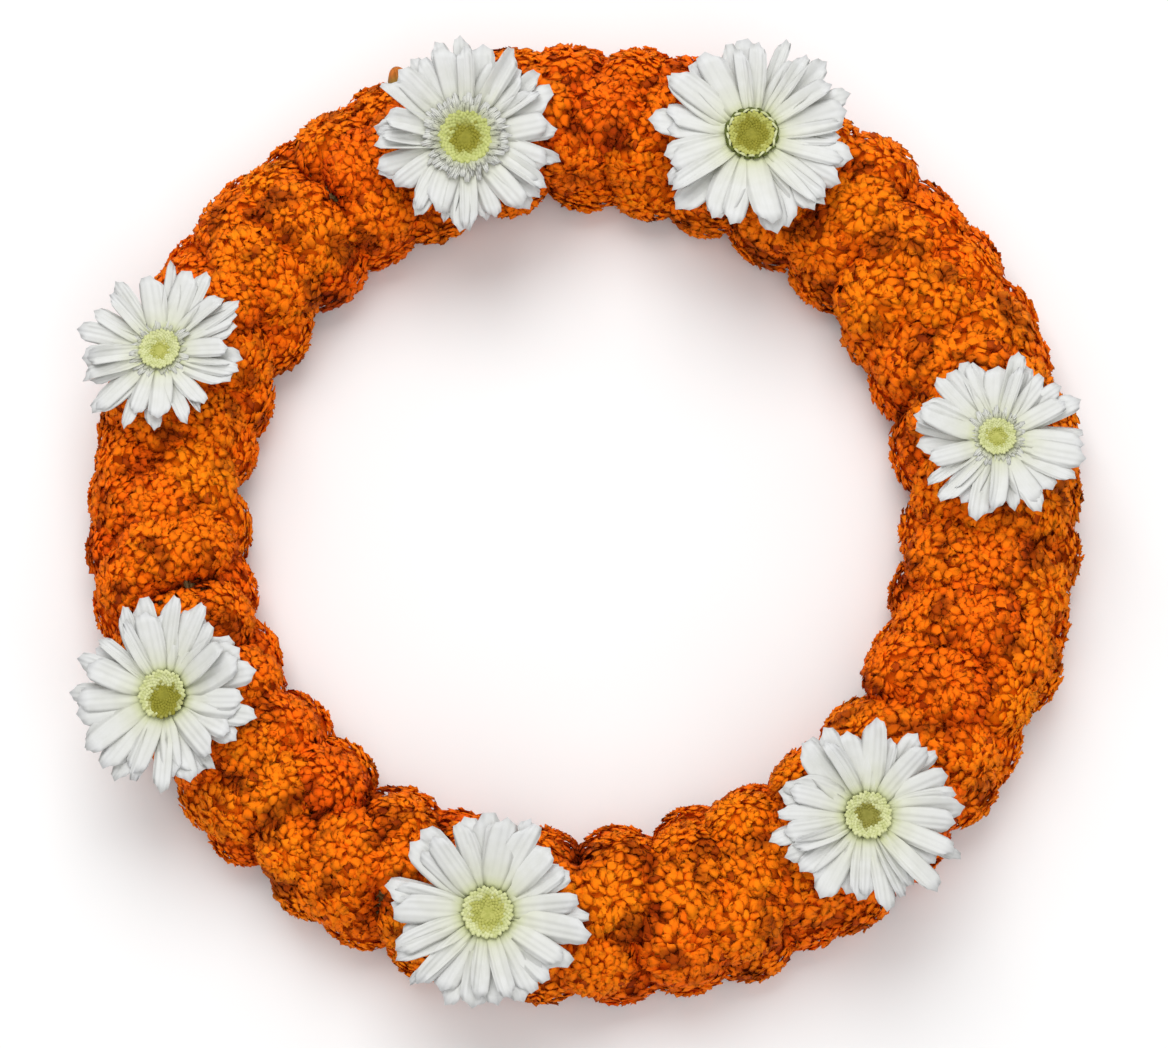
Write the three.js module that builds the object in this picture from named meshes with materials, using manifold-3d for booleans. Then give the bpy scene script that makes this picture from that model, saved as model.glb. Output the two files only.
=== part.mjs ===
/**
 * A funeral wreath. A flat-backed straw ring, bound with jute twine, carries five concentric rows
 * of marigold heads that cover its front and both its sides. The heads of a row are strung side by
 * side in short strings. Seven gerberas stand on the marigolds, each on a short stem pushed into
 * the straw, with one leaf and one unopened marigold bud tucked in.
 *
 * Units are millimetres and +Z is up. The wreath lies on its back, so the ring's flat back is on
 * Z = 0. +Y is the top of the wreath when it is stood up, and the origin is below the middle of
 * the wreath's outline.
 */
import * as THREE from "three";
import { mergeVertices } from "three/addons/utils/BufferGeometryUtils.js";
import Module from "manifold-3d";

const wasm = await Module();
wasm.setup();

// ---------------------------------------------------------------- driving dimensions

const RING_RADIUS = 226; // centre line of the straw ring
const STRAW_RADIUS = 25; // radius of the straw's round section
const STRAW_HEIGHT = 21; // height of the section's centre above the flat back
const TWINE_RADIUS = 1.2;
const TWINE_WRAPS = 16;
const GAP = 0.4; // clearance between neighbouring pieces

const HEAD_TOP = 50; // from the section's centre to the top of a marigold head
const HEAD_FOOT = 32; // from the section's centre to the underside of a marigold head
const HEAD_PITCH = 37; // from one marigold head to the next along a row
const ROW_SPACING = 47; // degrees round the straw's section from one row to the next
const STRINGS_PER_ROW = 6;
const ROWS = [
  { name: "inner_side", place: -2 },
  { name: "inner_shoulder", place: -1 },
  { name: "crown", place: 0 },
  { name: "outer_shoulder", place: 1 },
  { name: "outer_side", place: 2 },
];

// The wreath is fuller on one side, most of all in its outer rows.
const FULLNESS = 0.06;
const FULLEST_ANGLE = 15;

// Where each gerbera stands: its angle round the wreath from +X, how far round the straw's
// section it is from straight up (positive is outwards), and its width over the petals.
const GERBERAS = [
  { angle: 6, lean: 1, width: 98 },
  { angle: 64, lean: -5, width: 115 },
  { angle: 107, lean: -19, width: 109 },
  { angle: 161.5, lean: 12, width: 97 },
  { angle: 208, lean: 22, width: 104 },
  { angle: 259, lean: 11, width: 106 },
  { angle: 310, lean: 11, width: 103 },
];
const GERBERA_RISE = 4.5; // from the tops of the marigold heads to a gerbera's seat
const GERBERA_TILT = 0.6; // share of its lean by which a gerbera faces sideways

const COLOURS = {
  straw: 0xb99a5a,
  twine: 0x8a6a3f,
  marigold: 0xe57200,
  petals: 0xf1f1ec,
  disc: 0x9a9a3c,
  green: 0x6f8a3a,
  leaf: 0x4f6b2c,
};

// ---------------------------------------------------------------- small helpers

const radians = THREE.MathUtils.degToRad;

/** A repeatable value from -1 to 1 for the n-th thing of one kind. */
function spread(n, kind) {
  const wave = Math.sin(n * 12.9898 + kind * 78.233) * 43758.5453;
  return 2 * (wave - Math.floor(wave)) - 1;
}

/** How large the marigolds of a row are at an angle round the wreath; 1 is usual. */
function fullness(angle, place = 0) {
  return 1 + FULLNESS * Math.cos(radians(angle - FULLEST_ANGLE)) * (1 + place / 2);
}

/** [radius, height] of a point given round the straw's section, from straight up. */
function onSection(degrees, reach) {
  return [
    RING_RADIUS + reach * Math.sin(radians(degrees)),
    STRAW_HEIGHT + reach * Math.cos(radians(degrees)),
  ];
}

/** A matrix that stands something on the section, with its +Z leaning outwards by a tilt. */
function standingFrame(angle, lean, reach, tilt) {
  const [radius, height] = onSection(lean, reach);
  return new THREE.Matrix4()
    .makeRotationZ(radians(angle))
    .multiply(new THREE.Matrix4().makeTranslation(radius, 0, height))
    .multiply(new THREE.Matrix4().makeRotationY(radians(tilt)));
}

/** A closed three.js geometry as a solid. */
function solid(geometry) {
  const bare = geometry.clone();
  bare.deleteAttribute("normal");
  bare.deleteAttribute("uv");
  const merged = mergeVertices(bare, 1e-3);
  return new wasm.Manifold(
    new wasm.Mesh({
      numProp: 3,
      vertProperties: merged.attributes.position.array,
      triVerts: new Uint32Array(merged.index.array),
    }),
  );
}

/** A solid as a three.js geometry. */
function geometryOf(body) {
  const mesh = body.getMesh();
  const geometry = new THREE.BufferGeometry();
  geometry.setAttribute("position", new THREE.BufferAttribute(mesh.vertProperties, 3));
  geometry.setIndex(new THREE.BufferAttribute(mesh.triVerts, 1));
  geometry.computeVertexNormals();
  return geometry;
}

/** Turns an outline of [radius, height] pairs round the Z axis. */
function turned(outline, segments) {
  const points = outline.map(([radius, height]) => new THREE.Vector2(radius, height));
  return new THREE.LatheGeometry(points, segments).rotateX(Math.PI / 2);
}

/** A body with each of the cutters taken away from it. */
function cutAway(body, cutters) {
  return cutters.reduce((left, cutter) => left.subtract(cutter), body);
}

const wreath = new THREE.Group();

/** A named piece of the wreath, or of a flower of its own. */
function addPiece(name, geometry, color, roughness = 0.85, parent = wreath) {
  const material = new THREE.MeshStandardMaterial({ color, roughness, metalness: 0 });
  const mesh = new THREE.Mesh(geometry, material);
  mesh.name = name;
  parent.add(mesh);
  return mesh;
}

// ---------------------------------------------------------------- gerberas

const DISC_RADIUS = 9;
const CALYX_RADIUS = 12;
const CALYX_HEIGHT = 11;
const STEM_RADIUS = 2.6;
const STEM_LENGTH = 44;
const PETALS = 14;
const PETAL_THICKNESS = 2.4;
const PETAL_RISE = 5; // from a petal's root to its tip
const PETAL_NOTCH = 0.74; // how far out the gaps between petals start, as a share of the width

/** The ray petals as one dish of blunt petals with a hole for the disc. */
function petalDish(width) {
  const stationsPerPetal = 3;
  const tip = width / 2;
  const root = DISC_RADIUS + GAP;
  const outline = [
    [root, 0],
    [tip, PETAL_RISE],
    [tip, PETAL_RISE + PETAL_THICKNESS],
    [root, PETAL_THICKNESS],
    [root, 0],
  ];
  const dish = turned(outline, stationsPerPetal * PETALS);
  const place = dish.attributes.position;
  for (let i = 0; i < place.count; i++) {
    const station = Math.floor(i / outline.length);
    const isTip = Math.hypot(place.getX(i), place.getY(i)) > root + 1;
    if (isTip && station % stationsPerPetal === 0) {
      place.setX(i, place.getX(i) * PETAL_NOTCH);
      place.setY(i, place.getY(i) * PETAL_NOTCH);
    }
  }
  return dish;
}

/** The domed disc of small florets that fills the dish's hole. */
function discDome() {
  const dome = [
    [0, 0],
    [DISC_RADIUS, 0],
    [DISC_RADIUS, 3],
    [DISC_RADIUS * 0.6, 5],
    [0, 5.5],
  ];
  return turned(dome, 12);
}

/** The green cup under the petals with its short stem, grown by a clearance. */
function calyxAndStem(clearance) {
  const top = clearance > 0 ? clearance : -GAP;
  const outline = [
    [0, -STEM_LENGTH - clearance],
    [STEM_RADIUS + clearance, -STEM_LENGTH - clearance],
    [STEM_RADIUS + clearance, -CALYX_HEIGHT - clearance],
    [CALYX_RADIUS * 0.7 + clearance, 3 - CALYX_HEIGHT],
    [CALYX_RADIUS + clearance, top],
    [0, top],
  ];
  return turned(outline, 8);
}

const stemCutters = [];

GERBERAS.forEach(({ angle, lean, width }, index) => {
  const tilt = GERBERA_TILT * lean;
  const clear = HEAD_TOP * fullness(angle) + GERBERA_RISE;
  const frame = standingFrame(angle, lean, clear / Math.cos(radians(lean - tilt)), tilt);
  const name = `gerbera_${index + 1}`;
  const flower = new THREE.Group();
  flower.applyMatrix4(frame);
  wreath.add(flower);
  addPiece(`${name}_petals`, petalDish(width), COLOURS.petals, 0.55, flower);
  addPiece(`${name}_disc`, discDome(), COLOURS.disc, 0.85, flower);
  addPiece(`${name}_calyx_and_stem`, calyxAndStem(0), COLOURS.green, 0.85, flower);
  stemCutters.push(solid(calyxAndStem(GAP).applyMatrix4(frame)));
});

// ---------------------------------------------------------------- leaf and bud

const LEAF = { angle: 250, lean: 14, length: 36, width: 13, thickness: 1.2, turn: 80 };
const BUD = { angle: 112, lean: 60, radius: 7, length: 22, seat: 31.5 };

/** A pointed leaf, as thick as the clearance asks for. */
function leafBlade(clearance) {
  const half = LEAF.length / 2 + clearance;
  const side = LEAF.width + 2 * clearance;
  const blade = new THREE.Shape()
    .moveTo(-half, 0)
    .quadraticCurveTo(0, -side, half, 0)
    .quadraticCurveTo(0, side, -half, 0);
  return new THREE.ExtrudeGeometry(blade, {
    depth: LEAF.thickness + 2 * clearance,
    bevelEnabled: false,
    curveSegments: 5,
  }).translate(0, 0, -clearance);
}

/** An unopened marigold: a green cup with the closed petals showing above it. */
function budBody(clearance) {
  const side = BUD.radius + clearance;
  const outline = [
    [0, -clearance],
    [side * 0.5, -clearance],
    [side, BUD.length * 0.55],
    [side * 0.75, BUD.length * 0.85],
    [0, BUD.length + clearance],
  ];
  return turned(outline, 8);
}

const leafReach = HEAD_TOP * fullness(LEAF.angle) - 1;
const leafFrame = standingFrame(LEAF.angle, LEAF.lean, leafReach, LEAF.lean).multiply(
  new THREE.Matrix4().makeRotationZ(radians(LEAF.turn)),
);
const budFrame = standingFrame(BUD.angle, BUD.lean, BUD.seat, BUD.lean);
addPiece("leaf", leafBlade(0), COLOURS.leaf, 0.6).applyMatrix4(leafFrame);
addPiece("marigold_bud", budBody(0), COLOURS.green).applyMatrix4(budFrame);
const tuckedCutters = [
  solid(leafBlade(GAP).applyMatrix4(leafFrame)),
  solid(budBody(GAP).applyMatrix4(budFrame)),
];

// ---------------------------------------------------------------- straw ring and its twine

const TWINE_SLACK = 0.3; // keeps the straight stretches of the winding off the round straw

/** The line that the twine follows: round the straw, and in grooves across its flat back. */
class TwineWinding extends THREE.Curve {
  getPoint(share, target = new THREE.Vector3()) {
    const around = 2 * Math.PI * share;
    const wrap = around * TWINE_WRAPS;
    const below = -Math.cos(wrap);
    const toBack = STRAW_HEIGHT - TWINE_RADIUS - GAP;
    const onStraw = STRAW_RADIUS + 2 * TWINE_RADIUS + TWINE_SLACK;
    const reach = below > 0 ? Math.min(onStraw, toBack / below) : onStraw;
    const radius = RING_RADIUS + reach * Math.sin(wrap);
    const height = STRAW_HEIGHT + reach * Math.cos(wrap);
    return target.set(radius * Math.cos(around), radius * Math.sin(around), height);
  }
}

/** The winding as a closed tube, grown by a clearance. */
function twineTube(clearance) {
  const stepsPerWrap = 12;
  const steps = TWINE_WRAPS * stepsPerWrap;
  return new THREE.TubeGeometry(new TwineWinding(), steps, TWINE_RADIUS + clearance, 4, true);
}

/** The straw's D-shaped section, turned about the wreath's axis. */
function strawRing() {
  const arcSteps = 10;
  const backAngle = THREE.MathUtils.radToDeg(Math.acos(-STRAW_HEIGHT / STRAW_RADIUS));
  const outline = [];
  for (let step = 0; step <= arcSteps; step++) {
    outline.push(onSection(backAngle - (2 * backAngle * step) / arcSteps, STRAW_RADIUS));
  }
  outline.push(outline[0]);
  return turned(outline, 48);
}

const straw = cutAway(solid(strawRing()), [solid(twineTube(GAP)), ...stemCutters]);
addPiece("straw_ring", geometryOf(straw), COLOURS.straw, 0.9);
addPiece("binding_twine", twineTube(0), COLOURS.twine, 0.9);

// ---------------------------------------------------------------- marigold strings

const STATIONS_PER_HEAD = 3; // one at the neck between two heads, and two on the head
const ROW_HALF_WIDTH = ROW_SPACING / 2 - 0.5; // degrees, which leaves a thin gap between rows
const NECK_REACH = 0.62; // height and width of a neck, as shares of the head's
const NECK_WIDTH = 0.82;
const HEAD_VARIATION = 0.05; // by how much heads of one row differ in height

// A head's outline, as shares of the row's half width and of the way from its foot to its top.
const HEAD_OUTLINE = [
  [1, 0],
  [1, 0.52],
  [0.5, 1],
  [-0.5, 1],
  [-1, 0.52],
  [-1, 0],
];

/** A row's outline at one station, where the heads swell between narrow necks. */
function rowOutline(row, station, count) {
  const head = Math.floor(station / STATIONS_PER_HEAD) % count;
  const isNeck = station % STATIONS_PER_HEAD === 0;
  const angle = (360 * station) / (STATIONS_PER_HEAD * count) - 90;
  const size = fullness(angle, row.place) * (1 + HEAD_VARIATION * spread(head, row.place));
  const tall = (HEAD_TOP * size - HEAD_FOOT) * (isNeck ? NECK_REACH : 1);
  const wide = ROW_HALF_WIDTH * (isNeck ? NECK_WIDTH : 1);
  return HEAD_OUTLINE.map(([across, up]) => {
    return onSection(row.place * ROW_SPACING + across * wide, HEAD_FOOT + up * tall);
  });
}

/** A whole row of heads as one closed ring. */
function rowRing(row, count) {
  const outline = rowOutline(row, 0, count);
  const stations = STATIONS_PER_HEAD * count;
  const ring = turned([...outline, outline[0]], stations);
  const place = ring.attributes.position;
  for (let station = 0; station <= stations; station++) {
    const around = (2 * Math.PI * station) / stations - Math.PI / 2;
    const shape = rowOutline(row, station % stations, count);
    for (let corner = 0; corner <= shape.length; corner++) {
      const [radius, height] = shape[corner % shape.length];
      const i = station * (shape.length + 1) + corner;
      place.setXYZ(i, radius * Math.cos(around), radius * Math.sin(around), height);
    }
  }
  return ring;
}

/** The space that one string fills, from one angle round the wreath to another, in degrees. */
function stringSpace(from, to) {
  const [near, far, height] = [60, 400, 100];
  const corner = (radius, angle, side) => {
    const inset = THREE.MathUtils.radToDeg((side * GAP) / 2 / radius);
    const turn = radians(angle + inset);
    return new THREE.Vector2(radius * Math.cos(turn), radius * Math.sin(turn));
  };
  const outline = new THREE.Shape([
    corner(near, from, 1),
    corner(far, from, 1),
    corner(far, to, -1),
    corner(near, to, -1),
  ]);
  return new THREE.ExtrudeGeometry(outline, { depth: height, bevelEnabled: false });
}

for (const row of ROWS) {
  const [rowRadius] = onSection(row.place * ROW_SPACING, (HEAD_FOOT + HEAD_TOP) / 2);
  const count = Math.round((2 * Math.PI * rowRadius) / HEAD_PITCH);
  const ring = solid(rowRing(row, count));
  const neckAngle = (neck) => (360 * neck) / count - 90;
  for (let index = 0; index < STRINGS_PER_ROW; index++) {
    const first = Math.round((count * index) / STRINGS_PER_ROW) + row.place;
    const last = Math.round((count * (index + 1)) / STRINGS_PER_ROW) + row.place;
    const whole = ring.intersect(solid(stringSpace(neckAngle(first), neckAngle(last))));
    const string = cutAway(whole, [...stemCutters, ...tuckedCutters]);
    addPiece(`marigolds_${row.name}_${index + 1}`, geometryOf(string), COLOURS.marigold);
  }
}

// ---------------------------------------------------------------- the part's own frame

// The wreath is moved so that the origin lies below the middle of its outline.
const outlineBox = new THREE.Box3().setFromObject(wreath, true);
const middle = outlineBox.getCenter(new THREE.Vector3());
wreath.position.set(-middle.x, -middle.y, 0);

const part = new THREE.Group();
part.add(wreath);

export default part;
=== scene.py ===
"""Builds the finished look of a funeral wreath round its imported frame.

The wreath is a bound straw ring covered with strings of marigold heads, with seven gerberas, a leaf
and a marigold bud. All lengths are in metres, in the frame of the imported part.
"""

from __future__ import annotations

import logging
import math
from dataclasses import dataclass, field
from enum import Enum
from typing import Callable

import bpy
import numpy as np
from mathutils import Matrix, Vector


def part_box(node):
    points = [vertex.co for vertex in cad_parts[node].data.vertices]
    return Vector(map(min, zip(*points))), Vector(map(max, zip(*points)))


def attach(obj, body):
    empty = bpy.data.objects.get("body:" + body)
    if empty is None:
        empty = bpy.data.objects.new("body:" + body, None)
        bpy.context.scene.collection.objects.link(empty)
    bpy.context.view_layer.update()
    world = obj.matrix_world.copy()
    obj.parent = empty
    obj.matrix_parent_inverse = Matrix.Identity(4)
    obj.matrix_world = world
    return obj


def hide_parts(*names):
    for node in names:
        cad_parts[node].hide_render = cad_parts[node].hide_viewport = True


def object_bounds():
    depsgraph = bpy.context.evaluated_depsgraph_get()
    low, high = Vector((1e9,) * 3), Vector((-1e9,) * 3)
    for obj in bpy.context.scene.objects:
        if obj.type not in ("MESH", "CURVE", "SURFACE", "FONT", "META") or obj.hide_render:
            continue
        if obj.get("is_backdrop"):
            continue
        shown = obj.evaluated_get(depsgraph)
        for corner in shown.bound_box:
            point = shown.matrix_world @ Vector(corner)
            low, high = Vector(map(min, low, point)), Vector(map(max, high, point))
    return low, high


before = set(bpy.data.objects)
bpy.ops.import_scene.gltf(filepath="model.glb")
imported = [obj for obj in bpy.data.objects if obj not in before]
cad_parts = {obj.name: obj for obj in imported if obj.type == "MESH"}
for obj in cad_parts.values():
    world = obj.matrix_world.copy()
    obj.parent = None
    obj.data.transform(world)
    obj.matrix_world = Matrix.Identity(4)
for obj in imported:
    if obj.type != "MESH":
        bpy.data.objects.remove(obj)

log = logging.getLogger("wreath")

GOLDEN_ANGLE = math.pi * (3.0 - math.sqrt(5.0))
MM = 0.001

Array = np.ndarray
Colour = tuple[float, float, float]


# ------------------------------------------------------------------ shapes


@dataclass
class Shape:
    """A mesh in the making.

    Attributes:
        points: The places of its points, one row each.
        corners: The point at each corner of each face, one face after another.
        sizes: How many corners each face has.
        marks: Values painted on the points, by name.
    """

    points: Array
    corners: Array
    sizes: Array
    marks: dict[str, Array] = field(default_factory=dict)

    @staticmethod
    def taken_from(piece: bpy.types.Object) -> "Shape":
        """Takes the mesh out of a modelled piece and removes the piece.

        Args:
            piece: The modelled piece.

        Returns:
            Its shape, with no marks.
        """
        mesh = piece.data
        points = np.zeros(len(mesh.vertices) * 3)
        mesh.vertices.foreach_get("co", points)
        corners = np.zeros(len(mesh.loops), dtype=np.int64)
        mesh.loops.foreach_get("vertex_index", corners)
        sizes = np.zeros(len(mesh.polygons), dtype=np.int64)
        mesh.polygons.foreach_get("loop_total", sizes)
        bpy.data.objects.remove(piece)
        return Shape(points.reshape(-1, 3), corners, sizes)

    def copies(self, places: Array, marks: dict[str, Array]) -> "Shape":
        """Repeats the shape with the points of every copy given.

        Args:
            places: The points of each copy, as copies by points by 3.
            marks: Values for each copy, or for each point of each copy.

        Returns:
            All the copies as one shape.
        """
        count, points = places.shape[:2]
        shift = np.arange(count)[:, None] * points
        full = {
            name: np.broadcast_to(np.reshape(value, (count, -1)), (count, points)).ravel()
            for name, value in marks.items()
        }
        return Shape(
            places.reshape(-1, 3),
            (self.corners[None, :] + shift).ravel(),
            np.tile(self.sizes, count),
            full,
        )

    @staticmethod
    def joined(shapes: list["Shape"]) -> "Shape":
        """Puts shapes that carry the same marks into one.

        Args:
            shapes: The shapes.

        Returns:
            One shape that holds them all.
        """
        starts = np.cumsum([0] + [len(s.points) for s in shapes])
        return Shape(
            np.concatenate([s.points for s in shapes]),
            np.concatenate([s.corners + start for s, start in zip(shapes, starts)]),
            np.concatenate([s.sizes for s in shapes]),
            {m: np.concatenate([s.marks[m] for s in shapes]) for m in shapes[0].marks},
        )

    def moved(self, turn: Array, place: Array) -> "Shape":
        """Returns the shape turned by a 3 by 3 matrix and then shifted."""
        return Shape(self.points @ turn.T + place, self.corners, self.sizes, self.marks)

    def to_piece(self, name: str, smooth: bool = True) -> bpy.types.Object:
        """Makes the shape a mesh object at the origin.

        Args:
            name: The name of the piece.
            smooth: Whether its faces are shaded smooth.

        Returns:
            The new object.
        """
        mesh = bpy.data.meshes.new(name)
        mesh.vertices.add(len(self.points))
        mesh.vertices.foreach_set("co", self.points.astype(np.float32).ravel())
        mesh.loops.add(len(self.corners))
        mesh.loops.foreach_set("vertex_index", self.corners.astype(np.int32))
        mesh.polygons.add(len(self.sizes))
        starts = np.concatenate([[0], np.cumsum(self.sizes)[:-1]])
        mesh.polygons.foreach_set("loop_start", starts.astype(np.int32))
        mesh.polygons.foreach_set("use_smooth", np.full(len(self.sizes), smooth))
        mesh.update(calc_edges=True)
        for mark, value in self.marks.items():
            layer = mesh.attributes.new(mark, "FLOAT", "POINT")
            layer.data.foreach_set("value", value.astype(np.float32))
        piece = bpy.data.objects.new(name, mesh)
        bpy.context.scene.collection.objects.link(piece)
        return piece


class Bench:
    """Hand tools for modelling one small piece from a primitive."""

    @staticmethod
    def clear() -> None:
        """Deselects everything."""
        bpy.ops.object.select_all(action="DESELECT")

    @staticmethod
    def grid(across: int, along: int) -> bpy.types.Object:
        """Adds a flat sheet from -1 to 1 across X and from 0 to 1 along Y.

        Args:
            across: How many faces it has across.
            along: How many faces it has along.

        Returns:
            The sheet.
        """
        Bench.clear()
        bpy.ops.mesh.primitive_grid_add(
            x_subdivisions=across, y_subdivisions=along, size=1.0, location=(0.0, 0.5, 0.0)
        )
        sheet = bpy.context.object
        bpy.ops.object.transform_apply(location=True, rotation=True, scale=True)
        Bench.shape(sheet, lambda p: np.ones(len(p), bool), "resize", (2.0, 1.0, 1.0))
        return sheet

    @staticmethod
    def select(piece: bpy.types.Object, chosen: Callable[[Array], Array]) -> bool:
        """Selects the points of a piece that a test picks by their place.

        Args:
            piece: The piece, in object mode.
            chosen: Says for an array of places which are picked.

        Returns:
            Whether any point was picked.
        """
        mesh = piece.data
        places = np.zeros(len(mesh.vertices) * 3)
        mesh.vertices.foreach_get("co", places)
        mask = chosen(places.reshape(-1, 3))
        mesh.polygons.foreach_set("select", np.zeros(len(mesh.polygons), bool))
        mesh.edges.foreach_set("select", np.zeros(len(mesh.edges), bool))
        mesh.vertices.foreach_set("select", mask)
        return bool(mask.any())

    @staticmethod
    def shape(
        piece: bpy.types.Object,
        chosen: Callable[[Array], Array],
        tool: str,
        value: tuple[float, float, float],
    ) -> None:
        """Moves or resizes the points that a test picks.

        Args:
            piece: The piece, in object mode.
            chosen: Says for an array of places which are picked.
            tool: "translate" or "resize".
            value: How far the points move, or how much they are scaled about the piece's axis.
        """
        bpy.context.view_layer.objects.active = piece
        bpy.context.tool_settings.mesh_select_mode = (True, False, False)
        if not Bench.select(piece, chosen):
            return
        bpy.ops.object.mode_set(mode="EDIT")
        if tool == "translate":
            bpy.ops.transform.translate(value=value)
        else:
            bpy.ops.transform.resize(value=value, center_override=(0.0, 0.0, 0.0))
        bpy.ops.object.mode_set(mode="OBJECT")

    @staticmethod
    def thickened(piece: bpy.types.Object, thickness: float) -> None:
        """Gives a sheet an even thickness, for good."""
        bpy.context.view_layer.objects.active = piece
        wall = piece.modifiers.new("wall", "SOLIDIFY")
        wall.thickness = thickness
        wall.offset = -1.0
        bpy.ops.object.modifier_apply(modifier=wall.name)


def unit(vectors: Array) -> Array:
    """Returns vectors scaled to length one along their last axis."""
    return vectors / np.maximum(np.linalg.norm(vectors, axis=-1, keepdims=True), 1e-12)


def upright(axis: Array) -> Array:
    """Returns a turn that takes +Z to an axis, with no more roll than it needs."""
    return np.array(Vector(axis).to_track_quat("Z", "Y").to_matrix())


def spun(angle: float) -> Array:
    """Returns a turn about +Z."""
    return np.array(Matrix.Rotation(angle, 3, "Z"))


def finished(piece: bpy.types.Object, material: bpy.types.Material, slot: str, *nodes: str) -> None:
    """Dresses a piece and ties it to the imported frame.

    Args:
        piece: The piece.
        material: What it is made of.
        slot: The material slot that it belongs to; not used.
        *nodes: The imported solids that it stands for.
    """
    piece.data.materials.append(material)
    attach(piece, "root")
    if nodes:
        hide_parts(*nodes)
    log.info("%s: %d faces", piece.name, len(piece.data.polygons))


# ------------------------------------------------------------------ finishes


class Sheet:
    """The node sheet of one material or shader group."""

    def __init__(self, tree: bpy.types.NodeTree) -> None:
        """Starts from a node tree."""
        self.tree = tree

    def node(self, kind: str, **values: object) -> bpy.types.Node:
        """Adds a node.

        Args:
            kind: The node's type, without its "ShaderNode" start.
            **values: Properties of the node.

        Returns:
            The node.
        """
        made = self.tree.nodes.new("ShaderNode" + kind)
        for name, value in values.items():
            setattr(made, name, value)
        return made

    def join(self, source: bpy.types.NodeSocket, target: bpy.types.NodeSocket) -> None:
        """Links one socket to another."""
        self.tree.links.new(source, target)

    def mark(self, name: str) -> bpy.types.NodeSocket:
        """Returns the value of a mark painted on the piece."""
        return self.node("Attribute", attribute_name=name).outputs["Fac"]

    def ramp(self, source: bpy.types.NodeSocket, stops: list[tuple[float, Colour]]) -> bpy.types.NodeSocket:
        """Turns a value into a colour.

        Args:
            source: The value.
            stops: Places on the ramp and their colours.

        Returns:
            The colour.
        """
        made = self.node("ValToRGB")
        elements = made.color_ramp.elements
        while len(elements) < len(stops):
            elements.new(0.5)
        for element, (place, colour) in zip(elements, stops):
            element.position = place
            element.color = (*colour, 1.0)
        self.join(source, made.inputs["Fac"])
        return made.outputs["Color"]

    def mixed(
        self, share: bpy.types.NodeSocket | float, first: object, second: object, blend: str = "MIX"
    ) -> bpy.types.NodeSocket:
        """Mixes two colours.

        Args:
            share: How much of the second colour there is.
            first: A colour or a socket.
            second: A colour or a socket.
            blend: The way they mix.

        Returns:
            The mixed colour.
        """
        made = self.node("Mix", data_type="RGBA", blend_type=blend)
        for value, target in ((share, made.inputs[0]), (first, made.inputs[6]), (second, made.inputs[7])):
            if isinstance(value, bpy.types.NodeSocket):
                self.join(value, target)
            elif isinstance(value, tuple):
                target.default_value = (*value, 1.0)
            else:
                target.default_value = value
        return made.outputs[2]


def mottle_group() -> bpy.types.NodeTree:
    """Builds the shared group for uneven natural tissue.

    Returns:
        A group that puts out a soft blotchy value and a fine one, both from 0 to 1.
    """
    name = "tissue_mottle"
    if name in bpy.data.node_groups:
        return bpy.data.node_groups[name]
    tree = bpy.data.node_groups.new(name, "ShaderNodeTree")
    for label, value in (("Blotch Scale", 60.0), ("Fine Scale", 900.0)):
        socket = tree.interface.new_socket(label, in_out="INPUT", socket_type="NodeSocketFloat")
        socket.default_value = value
    for label in ("Blotch", "Fine"):
        tree.interface.new_socket(label, in_out="OUTPUT", socket_type="NodeSocketFloat")
    sheet = Sheet(tree)
    start = tree.nodes.new("NodeGroupInput")
    end = tree.nodes.new("NodeGroupOutput")
    place = sheet.node("TexCoord").outputs["Object"]
    for label, detail in (("Blotch", 2.0), ("Fine", 3.0)):
        noise = sheet.node("TexNoise")
        noise.inputs["Detail"].default_value = detail
        sheet.join(place, noise.inputs["Vector"])
        sheet.join(start.outputs[label + " Scale"], noise.inputs["Scale"])
        sheet.join(noise.outputs["Fac"], end.inputs[label])
    return tree


@dataclass(frozen=True)
class Finish:
    """What every finish of the wreath has.

    Attributes:
        name: The material's name.
        slot: Its material slot.
        roughness: How matt it is.
        blotch_scale: Blotches to the metre.
        fine_scale: Fine marks to the metre.
        relief: Height of the fine relief, in metres.
        gloss: Strength of its reflection.
    """

    name: str
    slot: str
    roughness: float = 0.7
    blotch_scale: float = 60.0
    fine_scale: float = 900.0
    relief: float = 0.0003
    gloss: float = 0.3

    def colour(self, sheet: Sheet, mottle: bpy.types.Node) -> bpy.types.NodeSocket:
        """Returns the colour over the surface; each finish has its own."""
        raise NotImplementedError

    def height(self, sheet: Sheet, mottle: bpy.types.Node) -> bpy.types.NodeSocket:
        """Returns the fine relief, from 0 to 1."""
        return mottle.outputs["Fine"]

    def material(self) -> bpy.types.Material:
        """Builds the material once.

        Returns:
            The material.
        """
        if self.name in bpy.data.materials:
            return bpy.data.materials[self.name]
        made = bpy.data.materials.new(self.name)
        made.use_nodes = True
        sheet = Sheet(made.node_tree)
        shader = made.node_tree.nodes["Principled BSDF"]
        shader.inputs["Roughness"].default_value = self.roughness
        shader.inputs["Specular IOR Level"].default_value = self.gloss
        mottle = sheet.node("Group", node_tree=mottle_group())
        mottle.inputs["Blotch Scale"].default_value = self.blotch_scale
        mottle.inputs["Fine Scale"].default_value = self.fine_scale
        sheet.join(self.colour(sheet, mottle), shader.inputs["Base Color"])
        bump = sheet.node("Bump")
        bump.inputs["Distance"].default_value = self.relief
        sheet.join(self.height(sheet, mottle), bump.inputs["Height"])
        sheet.join(bump.outputs["Normal"], shader.inputs["Normal"])
        return made


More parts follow.
